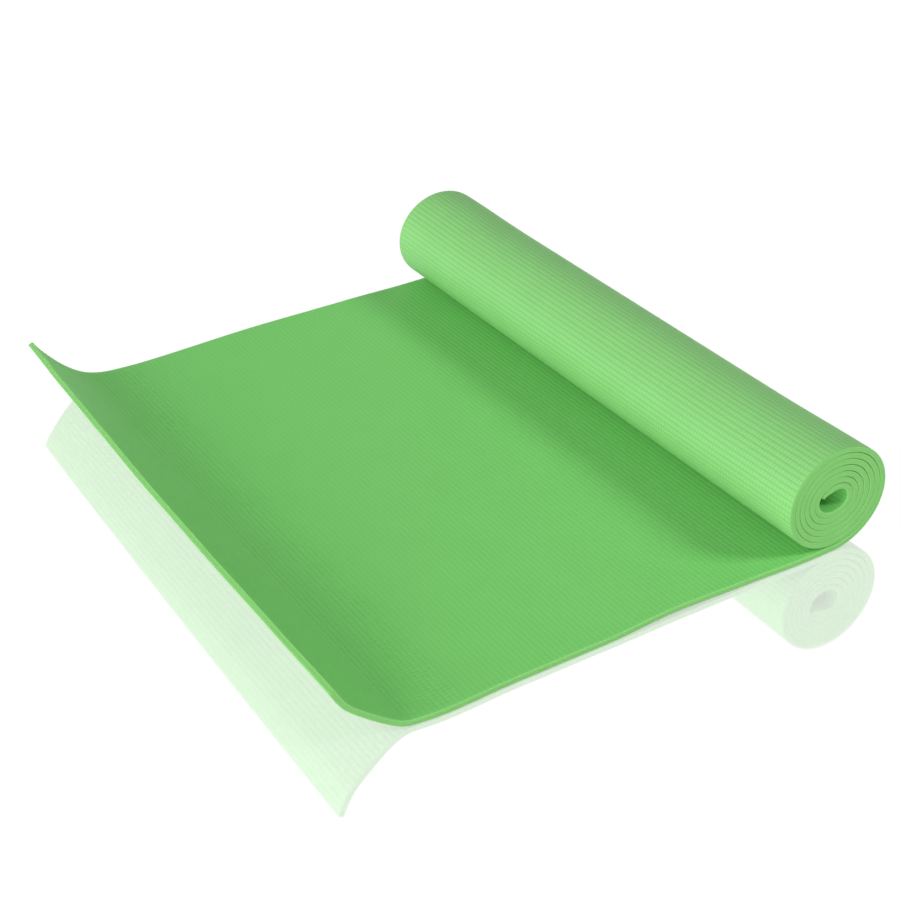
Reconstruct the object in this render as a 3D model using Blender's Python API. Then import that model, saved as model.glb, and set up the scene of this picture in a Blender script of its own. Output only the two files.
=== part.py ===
"""A PVC foam yoga mat, half unrolled, with its free end curled up off the floor.

The mat is one long sheet of three plies: a top foam, a woven scrim and a base foam.
X runs along the mat, from the free end (low X) to the roll (high X). Y runs across it, and Z is up.
The sheet bends everywhere. Here it bends on lines across it, and each stretch between two lines
is a rigid body whose empty stands on its line. The lines of the roll and of the free end lie on
the mat's base, so that the sheet opens flat. The fold line lies on its top, so that it folds up.
"""

import math

import bmesh
import bpy
from mathutils import Vector

# The sheet
mat_length = 1.730
mat_width = 0.610
foam_thickness = 0.0018
scrim_thickness = 0.0003
bond_gap = 0.0003

# The free end, which rises from the floor in a tight bend and then a slacker one
flat_length = 0.388
tight_bend_radius = 0.045
tight_bend_angle = math.radians(35)
slack_bend_radius = 0.120
slack_bend_angle = math.radians(28)
fold_strip_length = 0.030

# The roll, wound round an oval bore that has drifted to one side as it slackened
bore_half_width = 0.0111
bore_half_height = 0.0078
winding_gap_across = 0.00085
winding_gap_up = 0.0009
drift_across_share = -0.47
drift_up_share = 0.22
facet_angle = math.radians(10)
turn_precision_share = 1e-6

# The bend lines
turn_strip_count = 12
strips_per_bend = 2
bend_line_gap = 0.0003
full_turn = 2 * math.pi

# Colours as linear red, green and blue
foam_top_colour = (0.16, 0.52, 0.13)
foam_base_colour = (0.28, 0.62, 0.22)
scrim_colour = (0.62, 0.74, 0.55)
foam_roughness = 0.75
scrim_roughness = 0.9


def plies():
    """Each ply's name, colour, roughness and depths above the mat's base."""
    scrim_start = foam_thickness + bond_gap
    top_start = scrim_start + scrim_thickness + bond_gap
    return [
        ("base_foam", foam_base_colour, foam_roughness, 0, foam_thickness),
        ("scrim", scrim_colour, scrim_roughness, scrim_start, scrim_start + scrim_thickness),
        ("top_foam", foam_top_colour, foam_roughness, top_start, top_start + foam_thickness),
    ]


mat_thickness = plies()[-1][4]
turn_step_across = mat_thickness + winding_gap_across
turn_step_up = mat_thickness + winding_gap_up
drift_across = drift_across_share * winding_gap_across
drift_up = drift_up_share * winding_gap_up


def half_sizes(turns_left):
    """Half the winding's width and height on the mat's base, with this many turns still inside."""
    across = bore_half_width + mat_thickness + turn_step_across * turns_left
    up = bore_half_height + mat_thickness + turn_step_up * turns_left
    return across, up


def roll_base(angle, turns):
    """The point of the mat's base at an angle round a winding of so many turns.

    The angle starts where the sheet leaves the floor and grows towards the sheet's inner end.
    """
    done = angle / full_turn
    across, up = half_sizes(turns - done)
    middle_z = half_sizes(turns)[1] + drift_up * done
    return Vector((drift_across * done + across * math.sin(angle), 0, middle_z - up * math.cos(angle)))


def roll_run(angle, turns):
    """The direction in which the sheet runs there, towards its inner end."""
    across, up = half_sizes(turns - angle / full_turn)
    run_x = (drift_across - turn_step_across * math.sin(angle)) / full_turn + across * math.cos(angle)
    run_z = (drift_up + turn_step_up * math.cos(angle)) / full_turn + up * math.sin(angle)
    return Vector((run_x, 0, run_z))


def inward(run):
    """The direction from the mat's base to its top, for a sheet that runs this way."""
    return Vector((-run.z, 0, run.x)).normalized()


def winding_point(angle, depth, turns):
    """The point of a winding of so many turns, this far above the mat's base."""
    return roll_base(angle, turns) + depth * inward(roll_run(angle, turns))


def roll_point(angle, depth):
    """The same for the winding that this mat makes."""
    return winding_point(angle, depth, roll_turns)


def end_point(bent, depth):
    """The point of the free end where the sheet has turned up by this angle."""
    tight = min(bent, tight_bend_angle)
    slack = bent - tight
    base = Vector((-flat_length - tight_bend_radius * math.sin(tight), 0, tight_bend_radius * (1 - math.cos(tight))))
    base.x -= slack_bend_radius * (math.sin(bent) - math.sin(tight))
    base.z += slack_bend_radius * (math.cos(tight) - math.cos(bent))
    return base + depth * Vector((math.sin(bent), 0, math.cos(bent)))


def flat_point(along, depth):
    """The point of the flat sheet this far from where it meets the roll."""
    return Vector((along, 0, depth))


def steps(start, stop, largest):
    """Values from start to stop at even steps no larger than this."""
    count = max(1, math.ceil(abs(stop - start) / largest - facet_angle / full_turn))
    return [start + (stop - start) * step / count for step in range(count + 1)]


def wound_length(turns):
    """The length of the middle of the sheet in a winding of so many turns."""
    angles = steps(0, full_turn * turns, facet_angle)
    points = [winding_point(angle, mat_thickness / 2, turns) for angle in angles]
    return sum((points[i + 1] - points[i]).length for i in range(len(points) - 1))


def turns_wound():
    """The count of turns that takes up what neither lies flat nor stands up."""
    middle = mat_thickness / 2
    raised = tight_bend_angle * (tight_bend_radius - middle) + slack_bend_angle * (slack_bend_radius - middle)
    wound = mat_length - flat_length - raised
    fewest = 1
    most = fewest + wound / (full_turn * (bore_half_height + middle))
    while most - fewest > turn_precision_share:
        turns = (fewest + most) / 2
        if wound_length(turns) < wound:
            fewest = turns
        else:
            most = turns
    return fewest


def least_gap():
    """The narrowest gap between one turn and the next, measured on the facets' corners."""
    gaps = []
    for angle in steps(0, roll_end - full_turn, facet_angle):
        outer = roll_point(angle, mat_thickness)
        inner = [roll_point(angle + full_turn + facet_angle * share, 0) for share in (-1, 0, 1)]
        gaps.append(min((outer - point).length for point in inner))
    return min(gaps)


def material(name, colour, roughness):
    made = bpy.data.materials.new(name)
    made.use_nodes = True
    shader = made.node_tree.nodes["Principled BSDF"]
    shader.inputs["Base Color"].default_value = (*colour, 1)
    shader.inputs["Roughness"].default_value = roughness
    shader.inputs["Metallic"].default_value = 0
    return made


def ply_mesh(name, low_edge, high_edge, origin):
    """A ply between two lines of points on the near side, drawn across the mat's width."""
    shape = bmesh.new()
    near = Vector((0, -mat_width / 2, 0)) - origin
    low = [shape.verts.new(point + near) for point in low_edge]
    high = [shape.verts.new(point + near) for point in high_edge]
    for i in range(len(low) - 1):
        shape.faces.new((low[i], low[i + 1], high[i + 1], high[i]))
    drawn = bmesh.ops.extrude_face_region(shape, geom=shape.faces[:])
    far = [item for item in drawn["geom"] if isinstance(item, bmesh.types.BMVert)]
    bmesh.ops.translate(shape, vec=(0, mat_width, 0), verts=far)
    bmesh.ops.recalc_face_normals(shape, faces=shape.faces[:])
    mesh = bpy.data.meshes.new(name)
    shape.to_mesh(mesh)
    shape.free()
    mesh.shade_smooth()
    mesh.set_sharp_from_angle(angle=2 * facet_angle)
    return mesh


def body(name, line, parent, point_at, places):
    """The three plies of one stretch, carried by an empty on its bend line."""
    carrier = bpy.data.objects.new(name, None)
    carrier.empty_display_size = mat_thickness
    bpy.context.collection.objects.link(carrier)
    carrier.parent = parent
    carrier.location = line - (joint_lines[parent.name] if parent else mat_middle)
    joint_lines[name] = line
    for ply, colour, roughness, low, high in plies():
        node = f"{name}_{ply}"
        low_edge = [point_at(place, low) for place in places]
        high_edge = [point_at(place, high) for place in places]
        sheet = bpy.data.objects.new(node, ply_mesh(node, low_edge, high_edge, line))
        sheet.data.materials.append(material(node, colour, roughness))
        bpy.context.collection.objects.link(sheet)
        sheet.parent = carrier
    return carrier


def half_gap_angle(angle):
    """The turn of the roll that half of a bend line's gap takes up."""
    return bend_line_gap / 2 / roll_run(angle, roll_turns).length


def add_flat_run():
    """The sheet that lies on the floor, up to the fold line."""
    ends = [fold_line.x + bend_line_gap / 2, -bend_line_gap / 2]
    return body("flat_run", flat_point(0, 0), None, flat_point, ends)


def add_turn_strips(carrier):
    """The strips of the roll's outer turn, each hinged to the one before on the mat's base."""
    for number, start in enumerate(turn_lines[:-1]):
        stop = turn_lines[number + 1]
        places = steps(start + half_gap_angle(start), stop - half_gap_angle(stop), facet_angle)
        name = f"turn_strip_{number + 1:02d}"
        carrier = body(name, roll_point(start, 0), carrier, roll_point, places)
    return carrier


def add_rolled_core(carrier):
    """The turns inside the outer one, as one unbroken winding."""
    whole = steps(full_turn, roll_end, facet_angle)
    places = [full_turn + half_gap_angle(full_turn)] + whole[1:]
    body("rolled_core", roll_point(full_turn, 0), carrier, roll_point, places)


def add_free_end(carrier):
    """The fold strip and, past it, the strips of the raised end."""
    ends = [-flat_length + bend_line_gap / 2, fold_line.x - bend_line_gap / 2]
    carrier = body("fold_strip", fold_line, carrier, flat_point, ends)
    for number, start in enumerate(end_lines[:-1]):
        stop = end_lines[number + 1]
        radius = tight_bend_radius if stop <= tight_bend_angle else slack_bend_radius
        first = start + bend_line_gap / 2 / radius
        last = stop if number == len(end_lines) - 2 else stop - bend_line_gap / 2 / radius
        places = steps(first, last, facet_angle / 2)
        carrier = body(f"end_strip_{number + 1}", end_point(start, 0), carrier, end_point, places)


def bend_lines():
    """The angles of the lines of the outer turn, and those of the raised end."""
    turn = [full_turn * number / turn_strip_count for number in range(turn_strip_count + 1)]
    tight = [tight_bend_angle * number / strips_per_bend for number in range(strips_per_bend)]
    slack = [tight_bend_angle + slack_bend_angle * number / strips_per_bend for number in range(strips_per_bend + 1)]
    return turn, tight + slack


def middle_of_extent():
    """The middle of the whole mat along X, from its free end to the roll's far side."""
    far_side = max(roll_point(angle, 0).x for angle in steps(0, math.pi, facet_angle))
    free_end = end_point(tight_bend_angle + slack_bend_angle, 0).x
    return Vector(((far_side + free_end) / 2, 0, 0))


for leftover in list(bpy.data.objects):
    bpy.data.objects.remove(leftover)

joint_lines = {}
roll_turns = turns_wound()
roll_end = full_turn * roll_turns
turn_lines, end_lines = bend_lines()
fold_line = flat_point(fold_strip_length - flat_length, mat_thickness)
mat_middle = middle_of_extent()
flat_run = add_flat_run()
add_rolled_core(add_turn_strips(flat_run))
add_free_end(flat_run)
print(f"turns {roll_turns:.3f}, least gap between turns {least_gap() * 1000:.2f} mm")
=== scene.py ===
import math

import bpy
import numpy as np
from mathutils import Matrix, Vector


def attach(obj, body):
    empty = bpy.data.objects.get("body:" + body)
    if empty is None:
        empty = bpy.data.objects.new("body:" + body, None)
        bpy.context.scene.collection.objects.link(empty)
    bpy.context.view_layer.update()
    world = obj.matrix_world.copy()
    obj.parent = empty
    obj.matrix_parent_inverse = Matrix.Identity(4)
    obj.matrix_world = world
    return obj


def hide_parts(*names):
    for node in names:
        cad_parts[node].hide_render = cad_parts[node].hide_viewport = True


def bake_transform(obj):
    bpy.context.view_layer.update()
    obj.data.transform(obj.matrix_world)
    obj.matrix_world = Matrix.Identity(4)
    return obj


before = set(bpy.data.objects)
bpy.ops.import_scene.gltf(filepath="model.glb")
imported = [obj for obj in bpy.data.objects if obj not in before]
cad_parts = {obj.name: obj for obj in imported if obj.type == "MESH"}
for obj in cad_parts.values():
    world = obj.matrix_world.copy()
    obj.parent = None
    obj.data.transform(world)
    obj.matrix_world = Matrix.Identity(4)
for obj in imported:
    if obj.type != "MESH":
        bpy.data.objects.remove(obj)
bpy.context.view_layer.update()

# A PVC foam yoga mat, half unrolled. It is one sheet of three plies: a top foam, a woven scrim and
# a base foam. Every piece is a stretch of one ply. A place on the sheet is given by "along",
# measured on the middle of its thickness from where it leaves the floor to climb the roll (positive
# into the roll), by "across", over its width, and by "depth", up from its base.
# Lengths are in metres and angles in degrees.

sheet = {
    "width": 0.610,
    "thickness": 0.0045,  # the frame's, pressed flat
    "fullThickness": 0.00505,  # the foam's where it lies free
    "scrimBottom": 0.0021,
    "scrimTop": 0.0024,
    "scrimInset": 0.00015,  # the mesh is cut a hair short of the foam
    "liftOffX": 0.20088,  # where the flat sheet meets the roll, on the frame's X
    "edgeRounding": 0.0012,  # the soft shoulder that the knife leaves on a cut edge
    "edgeDrop": 0.0004,
    "edgeShares": (0, 0.3, 1),  # the shoulder's rows, as shares of its width
    "dropShares": (1, 0.4, 0),  # and how far each has dropped
    "edgeLean": 0.00015,  # the cut face bulges by this much at the scrim
    "edgeRoom": 0.0024,  # the ordinary rows keep this far from a cut end
}

roll = {
    "turns": 6.725311,
    "boreHalfWidth": 0.0111,
    "boreHalfHeight": 0.0078,
    "gapAcross": 0.00085,
    "gapUp": 0.0009,
    "driftAcross": -0.47,  # share of the gap by which each turn moves sideways
    "driftUp": 0.22,
    "tableSize": 9000,  # places at which the winding is worked out
    "stripAngle": 30,  # the outer turn opens in strips of this angle
    "stripCount": 12,
    "secondStop": 750,  # where the stretch that holds the second turn ends
    "endPlay": 0.0003,  # how far one turn's edge stands past the next at the ends of the roll
    "playWaves": [(0.6, 29, 0), (0.4, 71, 1)],  # its waves: share, radians per metre, radians
    "playReach": 0.15,  # it grows to its full amount over this length
    "swellStart": 0.012,  # loosely wound foam fills out the gaps between turns, from here on
    "swellReach": 0.030,
    # the share of the gap that stays open, by degrees round the roll
    "openShare": [(0, 0.05), (60, 0.04), (95, 0.14), (130, 0.24), (160, 0.10), (185, 0), (255, 0),
                  (300, 0.05), (360, 0.05)],
    "innerPress": 0.0014,  # how far the innermost turns are pressed in, on the upper left
    "pressMiddle": 203,
    "pressWidth": 42,
    "pressFade": 0.9,  # turns over which that dies away
    "endPinch": 0.45,  # the inner end lies pinched thin against the turn outside it
    "pinchReach": 0.012,
    "endShort": 0.003,  # and is drawn this much short
    "sag": 0.025,  # the roll sinks by this share of its height away from its ends
    "sagReach": 0.12,
}

freeEnd = {
    "flatLength": 0.388,
    "leadIn": 0.020,  # the far side starts to lift this much before the flat stretch ends
    # how steeply the sheet stands, at distances past the end of the flat stretch
    "nearRise": [(-0.020, 0), (0, 0), (0.006, 4), (0.011, 16), (0.016, 25), (0.022, 32),
                 (0.033, 37), (0.057, 41), (0.066, 46), (0.074, 58), (0.092, 67)],
    "farRise": [(-0.020, 0), (-0.010, 6), (0.002, 16), (0.012, 27), (0.025, 37), (0.038, 43),
                (0.052, 49), (0.060, 49), (0.070, 56), (0.080, 62)],
    # how much less steeply it stands at shares of the width, from the near side
    "droop": [(0, -0.4), (0.15, 0.6), (0.36, 1.8), (0.55, 2.2), (0.70, 1.3), (0.85, 0.6),
              (1, -1.0)],
    "droopStart": 0.020,
    "nearLength": 0.0905,  # the end is cut a little out of square
    "farLength": 0.0775,
    "bendLines": [0, 0.01306, 0.02611, 0.05488, 0.08365],  # the frame's, past the flat stretch
    "bendInset": 0.003,  # a stretch between two bodies has its from and to places this much inside its ends
    "foldLine": -0.358,
    "foldReach": 0.007,  # how far to each side of its line the fold stretch's from and to places lie
    "foldRoom": 0.002,  # and how much flat sheet its stretch holds before it
    "tableSteps": 240,
    "tableRows": 60,
    "tableEnd": 0.100,  # the table reaches this far past the flat stretch
}

# The side edges aren't dead straight: how far each strays, at places along the sheet
edgeWander = {
    "nearShift": [(-0.420, 0), (-0.365, -0.0041), (-0.300, -0.0018), (-0.225, -0.0013),
                  (-0.155, 0.0012), (-0.086, 0.0002), (-0.030, -0.0014), (0.040, 0)],
    "nearLift": [(-0.230, 0), (-0.155, 0.0014), (-0.060, 0)],
    "farShift": [(-0.395, -0.0004), (-0.342, -0.0038), (-0.210, 0.0012), (-0.110, 0),
                 (-0.050, -0.0020), (0.040, 0)],
    "reach": 0.10,  # how far in from the edge the straying is felt
}

# The raised grid on both faces: ribs across the sheet, each broken into a row of small pads
relief = {
    "ribPitch": 0.00453,
    "padCount": 168,  # across the width, so 3.6 mm apart
    "grooveDepth": 0.00034,
    "otherGrooveDepth": 0.00031,  # every second groove is a little shallower
    "padDip": 0.00026,
    "padShoulder": 0.28,  # share of a pad's width that each of its slopes takes
    "edgeFade": 0.006,  # the pads are crushed towards the cut edges
    "edgeShare": 0.25,
    "rowsPerRib": 4,
    "rowsPerPad": 3,  # two slopes and a level top
    "blockCount": 28,  # rows across the width on a face without pads
    "creaseAngle": 25,
}

# Faces that lie on the floor or against another turn: they have the ribs, and no pads
plainFaces = {("baseFoam", "Flat"), ("topFoam", "Second"), ("baseFoam", "Inner")}

fullTurn = 2 * math.pi


def easedValue(place, knots):  # eases from one knot's value to the next one's
    places = np.array([knot[0] for knot in knots])
    values = np.array([knot[1] for knot in knots])
    i = np.clip(np.searchsorted(places, place) - 1, 0, len(places) - 2)
    t = np.clip((place - places[i]) / (places[i + 1] - places[i]), 0, 1)
    return values[i] + (values[i + 1] - values[i]) * t * t * (3 - 2 * t)


# The roll: the frame's own winding, with its length measured so that the ribs keep their pitch

def windingAt(angle):  # the base of the sheet and the way to its top, at an angle round the roll
    stepAcross = sheet["thickness"] + roll["gapAcross"]
    stepUp = sheet["thickness"] + roll["gapUp"]
    driftAcross = roll["driftAcross"] * roll["gapAcross"]
    driftUp = roll["driftUp"] * roll["gapUp"]
    done = angle / fullTurn
    left = roll["turns"] - done
    halfWidth = roll["boreHalfWidth"] + sheet["thickness"] + stepAcross * left
    halfHeight = roll["boreHalfHeight"] + sheet["thickness"] + stepUp * left
    middleZ = roll["boreHalfHeight"] + sheet["thickness"] + stepUp * roll["turns"] + driftUp * done
    x = driftAcross * done + halfWidth * np.sin(angle)
    z = middleZ - halfHeight * np.cos(angle)
    runX = (driftAcross - stepAcross * np.sin(angle)) / fullTurn + halfWidth * np.cos(angle)
    runZ = (driftUp + stepUp * np.cos(angle)) / fullTurn + halfHeight * np.sin(angle)
    size = np.hypot(runX, runZ)
    inX, inZ = -runZ / size, runX / size
    press = innerPress(angle)
    return x + press * inX, z + press * inZ, inX, inZ


def innerPress(angle):  # how far the sheet is pressed in there
    fromMiddle = (np.degrees(angle) % 360 - roll["pressMiddle"]) / roll["pressWidth"]
    turnsLeft = np.clip(roll["turns"] - angle / fullTurn, 0, None)
    return roll["innerPress"] * np.exp(-fromMiddle ** 2) * np.exp(-turnsLeft / roll["pressFade"])


def gapAt(angle):  # the gap between a turn and the next one in, at an angle round the roll
    across = roll["gapAcross"] * (1 - roll["driftAcross"] * np.sin(angle))
    up = roll["gapUp"] * (1 + roll["driftUp"] * np.cos(angle))
    pressed = innerPress(angle + fullTurn) - innerPress(angle)
    pressed = np.where(angle < roll["turns"] * fullTurn, pressed, 0)
    return across * np.sin(angle) ** 2 + up * np.cos(angle) ** 2 + pressed


rollAngles = np.linspace(0, fullTurn * roll["turns"], roll["tableSize"])
tableX, tableZ, tableInX, tableInZ = windingAt(rollAngles)
middleX = tableX + tableInX * sheet["thickness"] / 2
middleZ = tableZ + tableInZ * sheet["thickness"] / 2
rollSteps = np.hypot(np.diff(middleX), np.diff(middleZ))
rollLengths = np.concatenate([[0], np.cumsum(rollSteps)])
rollLength = rollLengths[-1]


# The free end: how steeply it stands is given near and far, and its shape follows from that

def riseTable():
    steps, rows = freeEnd["tableSteps"], freeEnd["tableRows"]
    past = np.linspace(-freeEnd["leadIn"], freeEnd["tableEnd"], steps + 1)
    share = np.linspace(0, 1, rows + 1)
    near = np.interp(past, *zip(*freeEnd["nearRise"]))[:, None]
    far = np.interp(past, *zip(*freeEnd["farRise"]))[:, None]
    droop = np.clip(past / freeEnd["droopStart"], 0, 1)[:, None]
    droop = droop * easedValue(share, freeEnd["droop"])
    rise = np.radians(near * (1 - share) + far * share - droop)
    between = (rise[1:] + rise[:-1]) / 2
    step = past[1] - past[0]
    x = np.zeros_like(rise)
    z = np.zeros_like(rise)
    x[1:] = -np.cumsum(np.cos(between), axis=0) * step
    z[1:] = np.cumsum(np.sin(between), axis=0) * step
    return x - freeEnd["flatLength"] + freeEnd["leadIn"], z + sheet["thickness"] / 2, rise


endX, endZ, endRise = riseTable()


def standingAt(along, across):  # the middle of the sheet there, and how steeply it stands
    past = -freeEnd["flatLength"] - along
    a = (past + freeEnd["leadIn"]) / (freeEnd["tableEnd"] + freeEnd["leadIn"])
    a = a * freeEnd["tableSteps"]
    b = (across / sheet["width"] + 0.5) * freeEnd["tableRows"]
    i = np.clip(a.astype(int), 0, freeEnd["tableSteps"] - 1)
    j = np.clip(b.astype(int), 0, freeEnd["tableRows"] - 1)
    a, b = np.clip(a - i, 0, 1), np.clip(b - j, 0, 1)

    def blended(table):
        low = table[i, j] * (1 - a) + table[i + 1, j] * a
        high = table[i, j + 1] * (1 - a) + table[i + 1, j + 1] * a
        return low * (1 - b) + high * b

    return blended(endX), blended(endZ), blended(endRise)


def placeOnMat(along, across, depth):  # where a place on the sheet is, in the frame's metres
    given = (np.atleast_1d(np.asarray(value, float)) for value in (along, across, depth))
    along, across, depth = np.broadcast_arrays(*given)
    half = sheet["width"] / 2
    # how thick the foam is there: free, or wound up and filling the gaps between turns
    angle = np.interp(along, rollLengths, rollAngles)
    above = depth - sheet["thickness"] / 2
    filling = (1 - np.interp(np.degrees(angle) % 360, *zip(*roll["openShare"]))) / 2
    towards = np.where(above > 0, gapAt(angle), gapAt(angle - fullTurn))
    wound = depth + 2 * above / sheet["thickness"] * filling * towards
    free = depth * sheet["fullThickness"] / sheet["thickness"]
    pinch = np.clip((along - rollLength + roll["pinchReach"]) / roll["pinchReach"], 0, 1)
    share = np.clip((along - roll["swellStart"]) / roll["swellReach"], 0, 1)
    filled = (free + (wound - free) * share) * (1 - roll["endPinch"] * pinch)
    # the flat stretch and the roll
    baseX, baseZ, inX, inZ = windingAt(angle)
    fromEnd = np.clip((half - np.abs(across)) / roll["sagReach"], 0, 1)
    sag = 1 - roll["sag"] * fromEnd * fromEnd * (3 - 2 * fromEnd)
    x = np.where(along > 0, baseX + filled * inX, along)
    z = np.where(along > 0, (baseZ + filled * inZ) * sag, filled)
    # the free end
    standX, standZ, rise = standingAt(along, across)
    standing = along < freeEnd["leadIn"] - freeEnd["flatLength"]
    fromMiddle = filled - sheet["thickness"] / 2
    x = np.where(standing, standX + fromMiddle * np.sin(rise), x)
    z = np.where(standing, standZ + fromMiddle * np.cos(rise), z)
    # how far the side edges stray
    nearness = np.clip(1 - (across + half) / edgeWander["reach"], 0, 1) ** 2
    farness = np.clip(1 - (half - across) / edgeWander["reach"], 0, 1) ** 2
    y = across + nearness * easedValue(along, edgeWander["nearShift"])
    y = y + farness * easedValue(along, edgeWander["farShift"])
    z = z + nearness * easedValue(along, edgeWander["nearLift"])
    play = sum(part * np.sin(rate * along + shift) for part, rate, shift in roll["playWaves"])
    y = y + roll["endPlay"] * play * np.clip(along / roll["playReach"], 0, 1)
    return np.stack([x + sheet["liftOffX"], y, z], axis=-1)


# Each stretch ends in a groove, where the next one meets it unseen

def grooveNear(along):
    return round(along / relief["ribPitch"]) * relief["ribPitch"]


def lengthAt(degrees):  # the length of sheet that is wound up to an angle round the roll
    return float(np.interp(math.radians(degrees), rollAngles, rollLengths))


def endStretches():  # from the cut end to the start of the flat stretch
    lines = [-freeEnd["flatLength"] - line for line in freeEnd["bendLines"]]
    count = len(lines) - 1
    tip = -freeEnd["flatLength"] - (freeEnd["nearLength"] + freeEnd["farLength"]) / 2
    fold, reach, inset = freeEnd["foldLine"], freeEnd["foldReach"], freeEnd["bendInset"]
    cuts = [grooveNear((fold + lines[0]) / 2)]
    cuts += [grooveNear((lines[i] + lines[i + 1]) / 2) for i in range(count)]
    rows = [{"name": "Tip", "start": tip, "stop": cuts[count], "rides": f"end_strip_{count}",
             "cutStart": True}]
    for i in range(count, 0, -1):
        bodies = (f"end_strip_{i - 1}" if i > 1 else "fold_strip", f"end_strip_{i}")
        rows.append({"name": f"End{i}", "start": cuts[i], "stop": cuts[i - 1], "bends": bodies,
                     "from": cuts[i - 1] - inset, "to": cuts[i] + inset,
                     "node": f"end_strip_{i}"})
    rows.append({"name": "Fold", "start": cuts[0],
                 "stop": grooveNear(fold + reach + freeEnd["foldRoom"]),
                 "bends": ("flat_run", "fold_strip"), "from": fold + reach, "to": fold - reach,
                 "node": "fold_strip", "perRib": 6})
    return rows


def listStretches():
    rows = endStretches()
    count, angle = roll["stripCount"], roll["stripAngle"]
    cuts = [grooveNear(-lengthAt(angle / 2))]
    cuts += [grooveNear(lengthAt(angle * i + angle / 2)) for i in range(count + 1)]
    rows.append({"name": "Flat", "start": rows[-1]["stop"], "stop": cuts[0], "rides": "flat_run",
                 "node": "flat_run", "perRib": 3, "perPad": 2})
    for i in range(count + 1):
        before = f"turn_strip_{i:02d}" if i else "flat_run"
        after = f"turn_strip_{i + 1:02d}" if i < count else "rolled_core"
        row = {"name": f"Turn{i + 1:02d}", "start": cuts[i], "stop": cuts[i + 1],
               "bends": (before, after), "from": cuts[i], "to": cuts[i + 1]}
        if i < count:
            row["node"] = after
        rows.append(row)
    secondStop = grooveNear(lengthAt(roll["secondStop"]))
    rows.append({"name": "Second", "start": cuts[-1], "stop": secondStop, "rides": "rolled_core",
                 "node": "rolled_core", "perRib": 3})
    rows.append({"name": "Inner", "start": secondStop, "stop": rollLength - roll["endShort"],
                 "rides": "rolled_core", "perPad": 0, "cutStop": True})
    return rows


def edgeRows():  # the shoulder's rows: how far in from the cut face, and how far dropped
    shares, drops = np.array(sheet["edgeShares"]), np.array(sheet["dropShares"])
    return shares * sheet["edgeRounding"], drops * sheet["edgeDrop"]


def reliefLeft(fromEdge):  # the share of the relief that is left near a cut edge
    inward = np.clip(fromEdge / relief["edgeFade"], 0, 1)
    return relief["edgeShare"] + (1 - relief["edgeShare"]) * inward


# The rows along and across a stretch: where each is, how deep it lies in a groove, how far it has
# dropped on a shoulder, and the share of the relief that is left there

def columnsOf(stretch):
    start, stop = stretch["start"], stretch["stop"]
    cutStart, cutStop = stretch.get("cutStart"), stretch.get("cutStop")
    perRib = stretch.get("perRib", relief["rowsPerRib"])
    step = relief["ribPitch"] / perRib
    first = math.ceil(start / step) if cutStart else round(start / step)
    last = math.floor(stop / step) if cutStop else round(stop / step)
    index = np.arange(first, last + 1)
    along = index * step
    isEven = (index // perRib) % 2 == 0
    depths = np.where(isEven, relief["grooveDepth"], relief["otherGrooveDepth"])
    groove = np.where(index % perRib == 0, depths, 0)
    shoulder = np.zeros(len(index))
    left = np.ones(len(index))
    edge, drop = edgeRows()
    none = np.zeros(len(edge))
    if cutStart:
        keep = along > start + sheet["edgeRoom"]
        along = np.concatenate([start + edge, along[keep]])
        groove = np.concatenate([none, groove[keep]])
        shoulder = np.concatenate([drop, shoulder[keep]])
        left = reliefLeft(along - start)
    if cutStop:
        keep = along < stop - sheet["edgeRoom"]
        along = np.concatenate([along[keep], stop - edge[::-1]])
        groove = np.concatenate([groove[keep], none])
        shoulder = np.concatenate([shoulder[keep], drop[::-1]])
        left = reliefLeft(stop - along)
    return along, groove, shoulder, left


def rowsOf(perPad, hasShoulder):
    half = sheet["width"] / 2
    edge, drop = edgeRows()
    rim = len(edge)
    if not perPad:
        across = np.linspace(-half, half, relief["blockCount"] + 1)
        none = np.zeros(len(across))
        if not hasShoulder:
            return across, none, none, none
        across = np.concatenate([edge - half, across[1:-1], half - edge[::-1]])
        shoulder = np.concatenate([drop, none[1:-1], drop[::-1]])
        return across, np.zeros(len(across)), shoulder, reliefLeft(half - np.abs(across))
    count = relief["padCount"] * perPad
    index = np.arange(count + 1)
    across = (index / count - 0.5) * sheet["width"]
    dip = np.where(index % perPad == 0, relief["padDip"], 0)
    if perPad == relief["rowsPerPad"]:
        shift = (1 / perPad - relief["padShoulder"]) * sheet["width"] / relief["padCount"]
        across = across - shift * (index % perPad == 1) + shift * (index % perPad == 2)
    shoulder = np.zeros(count + 1)
    across[:rim] = edge - half
    across[-rim:] = half - edge[::-1]
    shoulder[:rim] = drop
    shoulder[-rim:] = drop[::-1]
    dip[:rim] = dip[-rim:] = 0
    return across, dip, shoulder, reliefLeft(half - np.abs(across))


def readArray(items, key, size, kind=float):
    values = np.zeros(len(items) * size, kind)
    items.foreach_get(key, values)
    return values.reshape(-1, size) if size > 1 else values


unitSlab = {
    "front": -0.5,  # its front face lies above this height and its back below
    "side": 0.5,
    "tolerance": 1e-5,
}


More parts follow.
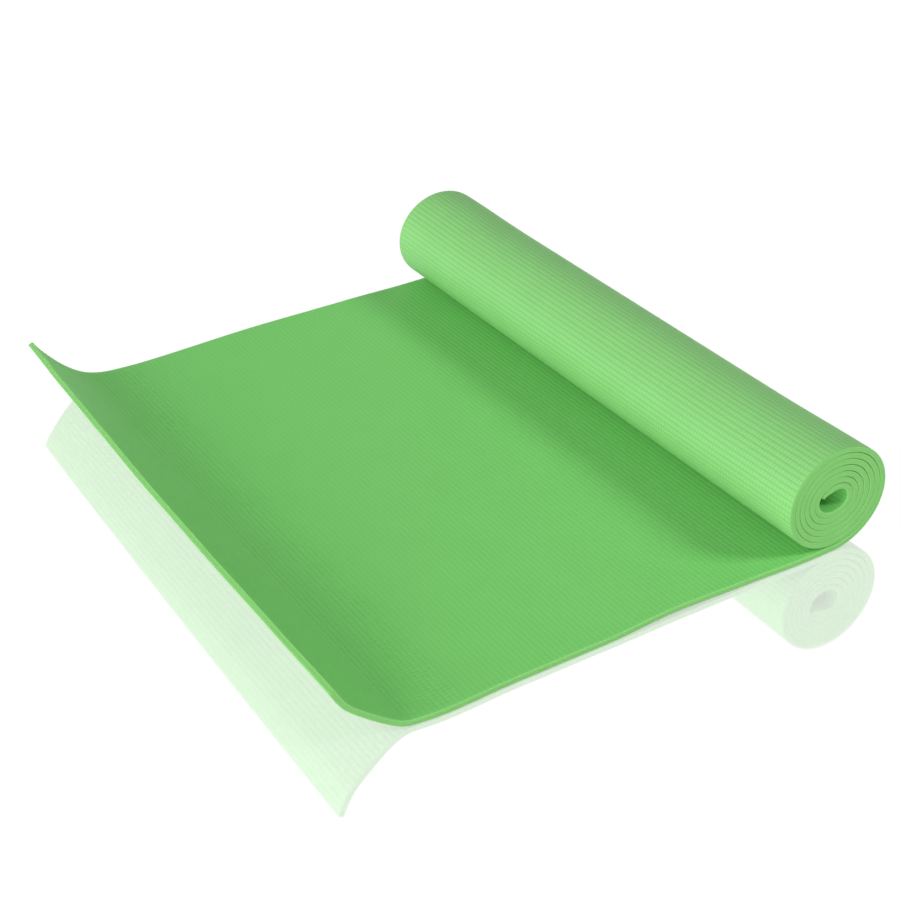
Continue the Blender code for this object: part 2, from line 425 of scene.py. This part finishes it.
def addBlank(name, columns, blocks, cuts):  # a unit slab, each block of its front cut into rows
    bpy.ops.object.select_all(action="DESELECT")
    bpy.ops.mesh.primitive_grid_add(x_subdivisions=columns - 1, y_subdivisions=blocks, size=1)
    blank = bpy.context.object
    blank.name = name
    blank.data.name = name
    bpy.ops.object.mode_set(mode="EDIT")
    bpy.ops.mesh.select_all(action="SELECT")
    bpy.ops.mesh.extrude_region_move(TRANSFORM_OT_translate={"value": (0, 0, -1)})
    if cuts:
        bpy.ops.mesh.select_mode(type="EDGE")
        bpy.ops.mesh.select_all(action="DESELECT")
        bpy.ops.object.mode_set(mode="OBJECT")
        selectFrontEdges(blank.data)
        bpy.ops.object.mode_set(mode="EDIT")
        bpy.ops.mesh.subdivide(number_cuts=cuts)
    bpy.ops.mesh.select_all(action="SELECT")
    bpy.ops.mesh.normals_make_consistent(inside=False)
    bpy.ops.object.mode_set(mode="OBJECT")
    return blank


def selectFrontEdges(mesh):  # the ones that run across the sheet
    places = readArray(mesh.vertices, "co", 3)[readArray(mesh.edges, "vertices", 2, np.int32)]
    onFront = (places[:, :, 2] > unitSlab["front"]).all(axis=1)
    runsAcross = np.abs(places[:, 0, 0] - places[:, 1, 0]) < unitSlab["tolerance"]
    mesh.edges.foreach_set("select", onFront & runsAcross)


# The outer face of each ply, its face on the scrim's side, and whether the outer one faces up (1)
# or down (-1)
plyDepths = {
    "topFoam": {"outer": sheet["thickness"], "inner": sheet["scrimTop"], "sign": 1},
    "baseFoam": {"outer": 0, "inner": sheet["scrimBottom"], "sign": -1},
    "scrim": {"outer": sheet["scrimTop"], "inner": sheet["scrimBottom"], "sign": 1},
}


def makeStretch(ply, stretch, materials):
    depths = plyDepths[ply]
    perPad = stretch.get("perPad", relief["rowsPerPad"])
    if ply == "scrim" or (ply, stretch["name"]) in plainFaces:
        perPad = 0
    along, groove, endShoulder, endShare = columnsOf(stretch)
    across, dip, sideShoulder, sideShare = rowsOf(perPad, ply != "scrim")
    blocks = relief["blockCount"] if perPad else len(across) - 1
    cuts = (len(across) - 1) // blocks - 1
    piece = addBlank(ply + stretch["name"], len(along), blocks, cuts)
    mesh = piece.data
    unit = readArray(mesh.vertices, "co", 3)
    i = np.rint((unit[:, 0] + 0.5) * (len(along) - 1)).astype(int)
    j = np.rint((0.5 + unit[:, 1] * depths["sign"]) * (len(across) - 1)).astype(int)
    front = unit[:, 2] > unitSlab["front"]
    lengths, widths = along[i], across[j]
    cutStart, cutStop = stretch.get("cutStart", False), stretch.get("cutStop", False)
    if ply == "scrim":
        inset = sheet["scrimInset"]
        depth = np.where(front, depths["outer"], depths["inner"])
        widths = widths * (1 - 2 * inset / sheet["width"])
        lengths = lengths + inset * (i == 0) * cutStart
        lengths = lengths - inset * (i == len(along) - 1) * cutStop
    else:
        sunk = np.maximum(groove[i], dip[j]) * np.minimum(endShare[i], sideShare[j])
        sunk = sunk + np.maximum(endShoulder[i], sideShoulder[j])
        depth = np.where(front, depths["outer"] - depths["sign"] * sunk, depths["inner"])
        onSide = np.abs(np.abs(unit[:, 1]) - unitSlab["side"]) < unitSlab["tolerance"]
        widths = widths - np.where(front & onSide, np.sign(widths) * sheet["edgeLean"], 0)
    if cutStart:  # the end that is cut out of square
        offSquare = (freeEnd["nearLength"] - freeEnd["farLength"]) * widths / sheet["width"]
        fromStop = (stretch["stop"] - lengths) / (stretch["stop"] - stretch["start"])
        lengths = lengths + offSquare * fromStop
    mesh.vertices.foreach_set("co", placeOnMat(lengths, widths, depth).ravel())
    flat = mesh.attributes.new("matPlace", "FLOAT_VECTOR", "POINT")
    flat.data.foreach_set("vector", np.stack([lengths, widths, depth], axis=-1).ravel())
    for material in materials:
        mesh.materials.append(material)
    if len(materials) > 1:
        fromRim = np.minimum(j, len(across) - 1 - j)
        if cutStart:
            fromRim = np.minimum(fromRim, i)
        if cutStop:
            fromRim = np.minimum(fromRim, len(along) - 1 - i)
        paintRim(mesh, fromRim)
    mesh.update()
    bpy.ops.object.shade_smooth_by_angle(angle=math.radians(relief["creaseAngle"]))
    tieToFrame(piece, ply, stretch)


def paintRim(mesh, fromRim):  # the materials are the skin's, the cut's and the shoulder's
    loops = readArray(mesh.loops, "vertex_index", 1, np.int32)
    starts = readArray(mesh.polygons, "loop_start", 1, np.int32)
    lastRow = len(sheet["edgeShares"]) - 1
    onShoulder = np.logical_and.reduceat(fromRim[loops] <= lastRow, starts)
    isCut = np.logical_and.reduceat(fromRim[loops] == 0, starts)
    index = np.where(isCut, 1, np.where(onShoulder, 2, 0)).astype(np.int32)
    mesh.polygons.foreach_set("material_index", index)


def tieToFrame(piece, ply, stretch):
    if "rides" in stretch:
        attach(piece, stretch["rides"])
    else:
        start = placeOnMat(stretch["from"], 0, sheet["thickness"] / 2)[0]
        end = placeOnMat(stretch["to"], 0, sheet["thickness"] / 2)[0]
        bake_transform(piece)
    slot = {"topFoam": "top_foam", "baseFoam": "base_foam", "scrim": "scrim"}[ply]
    if "node" in stretch:
        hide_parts(f"{stretch['node']}_{slot}")


# Materials

def linearColour(hexText):  # by the sRGB curve
    values = [int(hexText[i:i + 2], 16) / 255 for i in (1, 3, 5)]
    return (*[v / 12.92 if v <= 0.04045 else ((v + 0.055) / 1.055) ** 2.4 for v in values], 1)


def shaded(colour, share):  # a darker one of the same hue
    return (*[value * share for value in colour[:3]], 1)


def addNode(tree, kind, inputs=None, **settings):
    node = tree.nodes.new(kind)
    for name, value in settings.items():
        setattr(node, name, value)
    for name, value in (inputs or {}).items():
        if isinstance(value, bpy.types.NodeSocket):
            tree.links.new(value, node.inputs[name])
        else:
            node.inputs[name].default_value = value
    return node


def newMaterial(name):
    made = bpy.data.materials.new(name)
    made.use_nodes = True
    made.node_tree.nodes.clear()
    return made, made.node_tree


def mixColours(tree, share, first, second):  # the colour socket of a mix of two colours
    mixed = addNode(tree, "ShaderNodeMix", {0: share}, data_type="RGBA")
    mixed.inputs[6].default_value = first
    mixed.inputs[7].default_value = second
    return mixed.outputs[2]


foamLook = {
    "topColour": "#75C768",
    "baseColour": "#81C173",
    "topPaintedShade": (0.12, 0.07),  # painted shade: how much darker the grooves are drawn, along and across
    "basePaintedShade": (0.30, 0.17),
    "grooveStart": 0.3,  # the painted shade starts where a groove's wave is this high
    "mottleSize": 1 / 22,  # soft patches 45 mm wide, as on any cast sheet
    "mottleRange": (0.3, 0.7),
    "mottleShade": 0.04,
    "darkest": 0.35,  # share of the colour that is left in full shade
    "roughness": 0.5,
    "specular": 0.16,
    "cellSize": 0.0005,  # drawn a little larger than the real 0.3 mm cells, so that they show
    "cellHeight": 0.00005,
    "cellStrength": 0.5,
}


# Closed-cell PVC foam, cast and gelled on its mesh: a dull skin, with painted shade that darkens
# the grooves and the dips between the pads, over fine cells that break up the light
def foamSkin(name, hexColour, paintedShadeAmounts):
    made, tree = newMaterial(name)
    place = addNode(tree, "ShaderNodeAttribute", attribute_name="matPlace").outputs["Vector"]
    parts = addNode(tree, "ShaderNodeSeparateXYZ", {"Vector": place})
    # painted shade: each groove along and each dip across is drawn darker, as shade falls there
    shades = []
    for axis, pitch, most in (("X", relief["ribPitch"], paintedShadeAmounts[0]),
                              ("Y", sheet["width"] / relief["padCount"], paintedShadeAmounts[1])):
        turn = addNode(tree, "ShaderNodeMath", {0: parts.outputs[axis], 1: fullTurn / pitch},
                       operation="MULTIPLY")
        wave = addNode(tree, "ShaderNodeMath", {0: turn.outputs[0]}, operation="COSINE")
        shades.append(addNode(tree, "ShaderNodeMapRange", {
            "Value": wave.outputs[0], "From Min": foamLook["grooveStart"], "From Max": 1,
            "To Min": 0, "To Max": most}).outputs[0])
    paintedGrooveShade = addNode(tree, "ShaderNodeMath", {0: shades[0], 1: shades[1]}, operation="MAXIMUM")
    mottle = addNode(tree, "ShaderNodeTexNoise", {
        "Vector": place, "Scale": 1 / foamLook["mottleSize"], "Detail": 3})
    uneven = addNode(tree, "ShaderNodeMapRange", {
        "Value": mottle.outputs["Fac"], "From Min": foamLook["mottleRange"][0],
        "From Max": foamLook["mottleRange"][1], "To Min": 0, "To Max": foamLook["mottleShade"]})
    # the painted groove shade, plus the sheet's own mottled tone
    shade = addNode(tree, "ShaderNodeMath", {0: paintedGrooveShade.outputs[0], 1: uneven.outputs[0]},
                    operation="ADD")
    colour = linearColour(hexColour)
    mixed = mixColours(tree, shade.outputs[0], colour, shaded(colour, foamLook["darkest"]))
    cells = addNode(tree, "ShaderNodeTexNoise", {
        "Vector": place, "Scale": 1 / foamLook["cellSize"], "Detail": 2})
    bump = addNode(tree, "ShaderNodeBump", {
        "Height": cells.outputs["Fac"], "Strength": foamLook["cellStrength"],
        "Distance": foamLook["cellHeight"]})
    shader = addNode(tree, "ShaderNodeBsdfPrincipled", {
        "Base Color": mixed, "Roughness": foamLook["roughness"],
        "Specular IOR Level": foamLook["specular"], "Normal": bump.outputs["Normal"]})
    addNode(tree, "ShaderNodeOutputMaterial", {"Surface": shader.outputs[0]})
    return made


cutLook = {
    "cutColour": "#73B760",
    # painted highlight: the top ply's shoulder is drawn paler than the cut, as it catches the light
    # from above
    "paintedLitRimColour": "#88CC77",
    "cellSize": 0.000625,  # the opened cells, drawn twice as large as they are, so that they show
    "darkest": 0.88,
    "cellHeight": 0.0001,
    "cellStrength": 0.6,
    "roughness": 0.8,
}


# The same foam where the knife opened it: its cut cells take away the sheen and speckle the colour
def foamCut(name, hexColour):
    made, tree = newMaterial(name)
    place = addNode(tree, "ShaderNodeAttribute", attribute_name="matPlace").outputs["Vector"]
    cells = addNode(tree, "ShaderNodeTexNoise", {
        "Vector": place, "Scale": 1 / cutLook["cellSize"], "Detail": 3})
    colour = linearColour(hexColour)
    mixed = mixColours(tree, cells.outputs["Fac"], colour, shaded(colour, cutLook["darkest"]))
    bump = addNode(tree, "ShaderNodeBump", {
        "Height": cells.outputs["Fac"], "Strength": cutLook["cellStrength"],
        "Distance": cutLook["cellHeight"]})
    shader = addNode(tree, "ShaderNodeBsdfPrincipled", {
        "Base Color": mixed, "Roughness": cutLook["roughness"],
        "Normal": bump.outputs["Normal"]})
    addNode(tree, "ShaderNodeOutputMaterial", {"Surface": shader.outputs[0]})
    return made


scrimLook = {
    "colour": "#88C678",
    "darkest": 0.8,
    "threadPitch": 0.002856,
    "waveTurn": 20,  # radians to the metre in a wave of scale 1
    "roughness": 0.85,
}


# Polyester mesh, knitted and then soaked in the PVC: only its cut threads show, as a fine line
def scrimMesh(name):
    made, tree = newMaterial(name)
    place = addNode(tree, "ShaderNodeAttribute", attribute_name="matPlace").outputs["Vector"]
    threads = addNode(tree, "ShaderNodeTexWave", {
        "Vector": place, "Scale": fullTurn / scrimLook["waveTurn"] / scrimLook["threadPitch"]})
    colour = linearColour(scrimLook["colour"])
    mixed = mixColours(tree, threads.outputs["Fac"], shaded(colour, scrimLook["darkest"]), colour)
    shader = addNode(tree, "ShaderNodeBsdfPrincipled", {
        "Base Color": mixed, "Roughness": scrimLook["roughness"]})
    addNode(tree, "ShaderNodeOutputMaterial", {"Surface": shader.outputs[0]})
    return made


topSkin = foamSkin("castPvcFoamTop", foamLook["topColour"], foamLook["topPaintedShade"])
baseSkin = foamSkin("castPvcFoamBase", foamLook["baseColour"], foamLook["basePaintedShade"])
cutFoam = foamCut("knifeCutPvcFoam", cutLook["cutColour"])
paintedLitRimFoam = foamCut("pvcFoamShoulderPaintedLit", cutLook["paintedLitRimColour"])  # the upper shoulder, drawn paler: a painted highlight where it faces up into the light
scrimCloth = scrimMesh("polyesterScrim")
plyMaterials = {
    "baseFoam": [baseSkin, cutFoam, cutFoam],
    "scrim": [scrimCloth],
    "topFoam": [topSkin, cutFoam, paintedLitRimFoam],
}

stretches = listStretches()
print(f"{len(stretches)} stretches of three plies")
for stretch in stretches:
    for ply, materials in plyMaterials.items():
        makeStretch(ply, stretch, materials)
    print(f"made {stretch['name']}: {stretch['start']:.4f} to {stretch['stop']:.4f}")

# The studio: a pale glossy floor, a white room and soft lamps

studio = {
    "floorSize": 30,
    "floorDrop": 0.0004,
    "floorGloss": 0.42,
    "floorRoughness": 0.06,
    "floorColour": 0.8,
    "floorSeenColour": 0.15,  # what the camera sees of the light on the floor
    "floorGlow": 0.92,  # and the white that is added to that
    "ambient": 0.22,
    "cameraPlace": (-0.6927, -1.2249, 0.8656),
    "cameraYaw": 0.5303,  # radians, from +Y towards +X
    "cameraPitch": 0.5469,
    "cameraRoll": -0.0348,
    "lens": 75.144,
    "sensorWidth": 36,
    "clipStart": 0.05,
    "clipEnd": 100,
}

# Each lamp's place, size across and power in watts: all face the middle of the mat
lamps = {
    "leftLamp": ((-3.81, 0, 0.81), 2.0, 68),
    "highLeftLamp": ((-3.07, 0, 2.40), 2.0, 63),
    "frontLeftLamp": ((-2.70, -2.70, 0.81), 2.0, 68),
    "frontRightLamp": ((2.17, -2.17, 2.40), 1.0, 72),  # it casts the roll's shadow on the mat
    "backLeftLamp": ((-2.70, 2.70, 0.81), 2.0, 24),
}


def seenDirectly(tree):  # 1 where the camera or a reflection sees it, and 0 for all other light
    path = addNode(tree, "ShaderNodeLightPath")
    return addNode(tree, "ShaderNodeMath", {
        0: path.outputs["Is Camera Ray"], 1: path.outputs["Is Glossy Ray"]},
        operation="MAXIMUM").outputs[0]


def addFloor():
    bpy.ops.object.select_all(action="DESELECT")
    bpy.ops.mesh.primitive_plane_add(size=studio["floorSize"],
                                     location=(0, 0, -studio["floorDrop"]))
    floor = bpy.context.object
    floor.name = "floor"
    made, tree = newMaterial("whiteAcrylicFloor")
    matt = addNode(tree, "ShaderNodeBsdfDiffuse", {"Color": (*[studio["floorColour"]] * 3, 1)})
    pale = addNode(tree, "ShaderNodeBsdfDiffuse", {
        "Color": (*[studio["floorSeenColour"]] * 3, 1)})
    glow = addNode(tree, "ShaderNodeEmission", {
        "Color": (1, 1, 1, 1), "Strength": studio["floorGlow"]})
    bright = addNode(tree, "ShaderNodeAddShader", {0: pale.outputs[0], 1: glow.outputs[0]})
    both = addNode(tree, "ShaderNodeMixShader", {
        0: seenDirectly(tree), 1: matt.outputs[0], 2: bright.outputs[0]})
    gloss = addNode(tree, "ShaderNodeBsdfGlossy", {
        "Color": (1, 1, 1, 1), "Roughness": studio["floorRoughness"]})
    mixed = addNode(tree, "ShaderNodeMixShader", {
        0: studio["floorGloss"], 1: both.outputs[0], 2: gloss.outputs[0]})
    addNode(tree, "ShaderNodeOutputMaterial", {"Surface": mixed.outputs[0]})
    floor.data.materials.append(made)


def addRoom():
    world = bpy.data.worlds.new("whiteRoom")
    bpy.context.scene.world = world
    world.use_nodes = True
    tree = world.node_tree
    tree.nodes.clear()
    strength = addNode(tree, "ShaderNodeMapRange", {
        "Value": seenDirectly(tree), "To Min": studio["ambient"], "To Max": 1.0})
    back = addNode(tree, "ShaderNodeBackground", {
        "Color": (1, 1, 1, 1), "Strength": strength.outputs[0]})
    addNode(tree, "ShaderNodeOutputWorld", {"Surface": back.outputs[0]})


def addLamp(name, place, size, power):
    bpy.ops.object.select_all(action="DESELECT")
    bpy.ops.object.light_add(type="AREA", location=place)
    lamp = bpy.context.object
    lamp.name = name
    lamp.data.size = size
    lamp.data.energy = power
    lamp.rotation_euler = Vector(place).to_track_quat("Z", "Y").to_euler()


def addCamera():
    bpy.ops.object.camera_add(location=studio["cameraPlace"])
    camera = bpy.context.object
    camera.name = "photoCamera"
    turn = Matrix.Rotation(-studio["cameraYaw"], 3, "Z")
    tilt = Matrix.Rotation(math.pi / 2 - studio["cameraPitch"], 3, "X")
    lean = Matrix.Rotation(studio["cameraRoll"], 3, "Z")
    camera.rotation_euler = (turn @ tilt @ lean).to_euler()
    camera.data.sensor_width = studio["sensorWidth"]
    camera.data.lens = studio["lens"]
    camera.data.clip_start = studio["clipStart"]
    camera.data.clip_end = studio["clipEnd"]
    bpy.context.scene.camera = camera


addFloor()
addRoom()
for name, (place, size, power) in lamps.items():
    addLamp(name, place, size, power)
addCamera()
bpy.context.scene.view_settings.view_transform = "Standard"
print("studio ready")
